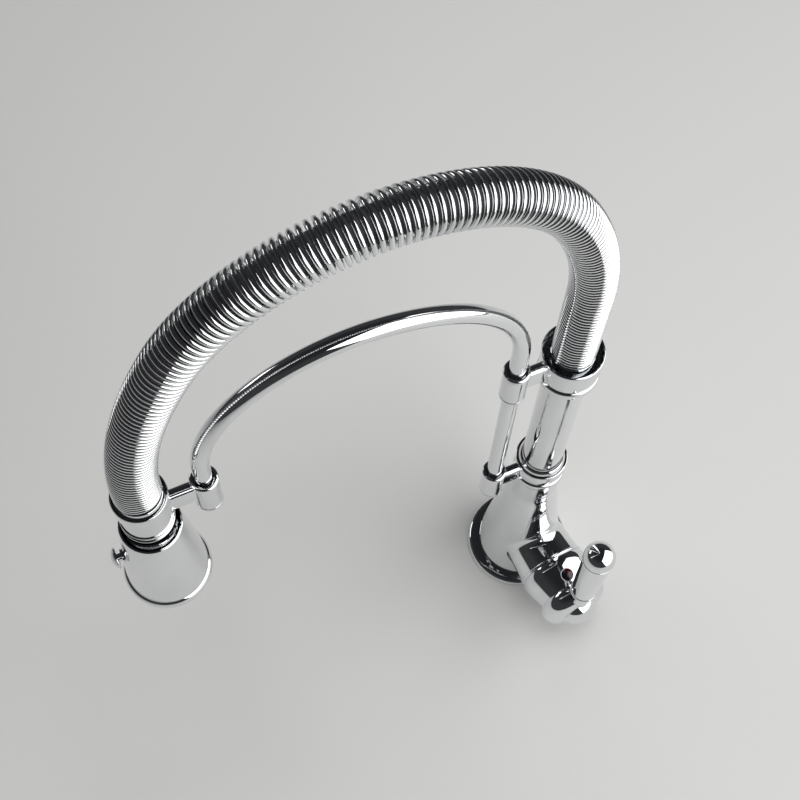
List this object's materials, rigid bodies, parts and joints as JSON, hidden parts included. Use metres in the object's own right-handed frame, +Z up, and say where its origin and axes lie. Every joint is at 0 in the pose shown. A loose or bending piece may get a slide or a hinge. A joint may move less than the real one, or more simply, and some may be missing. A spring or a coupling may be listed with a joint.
{
  "type": "shower mixer",
  "caption": "Deck-mounted mixer tap with a swivelling column, a spring-clad arch hose on a support rod, a pull-out hand spray and a side lever.",
  "frame": {"origin": "middle of the base's underside, on the worktop's top face, on the spout's swivel axis", "axes": "+Z up along the column; the spout arches towards -Y, its front; the lever's arm points to +X, turned 6.4 degrees towards +Y as pictured"},
  "size_m": [0.1095, 0.276, 0.5587],
  "materials": {
    "chrome": "polished chrome plate",
    "spring": "polished chrome-plated wire",
    "steel": "zinc-plated steel",
    "brass": "machined brass",
    "rubber": "black sealing rubber",
    "nylon": "natural nylon",
    "ceramic_body": "moulded cartridge plastic",
    "index": "dark glossy index plug with a red half",
    "hose": "dark smooth hose",
    "face": "grey moulded plate",
    "nozzles": "soft grey nozzles",
    "core": "dark moulded plastic"
  },
  "bodies": {
    "base": {"base_ring": "chrome", "base_seal": "rubber", "mixer_body": "chrome", "spout_retaining_screw": "steel", "swivel_slip_ring": "nylon", "fixing_stud": "steel", "clamp_seal": "rubber", "clamp_plate": "steel", "stud_nut": "steel", "cartridge_seal": "rubber", "cartridge": "ceramic_body", "cartridge_nut": "brass", "arm_trim_ring": "chrome", "cartridge_cover": "chrome", "index_button": "index"},
    "control": {"cartridge_carrier": "ceramic_body", "carrier_pin": "steel"},
    "lever": {"lever_stem": "brass", "lever_hub": "chrome", "hub_screw": "steel", "hub_cap": "chrome", "lever_neck": "chrome", "lever_handle": "chrome", "lever_tip": "chrome"},
    "spout": {"swivel_spigot": "brass", "spigot_seals": "rubber", "column_tube": "chrome", "lower_collar": "chrome", "lower_bracket": "chrome", "upper_collar": "chrome", "upper_bracket": "chrome", "support_rod": "chrome", "front_bracket": "chrome", "front_collar": "chrome", "docking_neck": "chrome", "rear_ferrule": "chrome", "front_ferrule": "chrome", "arch_spring": "spring", "inner_hose": "hose", "hose_connector": "brass"},
    "hose": {"hose_tail": "hose", "tail_nut": "brass"},
    "handset": {"spray_shell": "chrome", "spray_face": "face", "nozzle_mat": "nozzles", "spray_core": "core", "spray_valve": "core"},
    "button": {"spray_button": "chrome"}
  },
  "joints": [
    {"name": "spout_swivel", "type": "hinge", "parent": "base", "child": "spout", "pos_m": [0, 0, 0.1367], "axis": [0, 0, 1], "range_deg": [-180, 180]},
    {"name": "lever_turn", "type": "hinge", "parent": "base", "child": "control", "pos_m": [0.04174, 0.00468, 0.0392], "axis": [0.9938, 0.1115, 0], "range_deg": [-45, 45]},
    {"name": "lever_lift", "type": "hinge", "parent": "control", "child": "lever", "pos_m": [0.04174, 0.00468, 0.0392], "axis": [-0.1115, 0.9938, 0], "range_deg": [0, 20]},
    {"name": "spray_pull", "type": "slide", "parent": "spout", "child": "hose", "axis": [0, 0, -1], "range_m": [0, 0.045]},
    {"name": "spray_turn", "type": "hinge", "parent": "hose", "child": "handset", "pos_m": [0, -0.2192, 0.28], "axis": [0, 0, 1], "range_deg": [-180, 180]},
    {"name": "button_press", "type": "slide", "parent": "handset", "child": "button", "axis": [0, 1, 0], "range_m": [0, 0.0015], "stiffness_N_per_m": 400, "springref_m": -0.001}
  ]
}
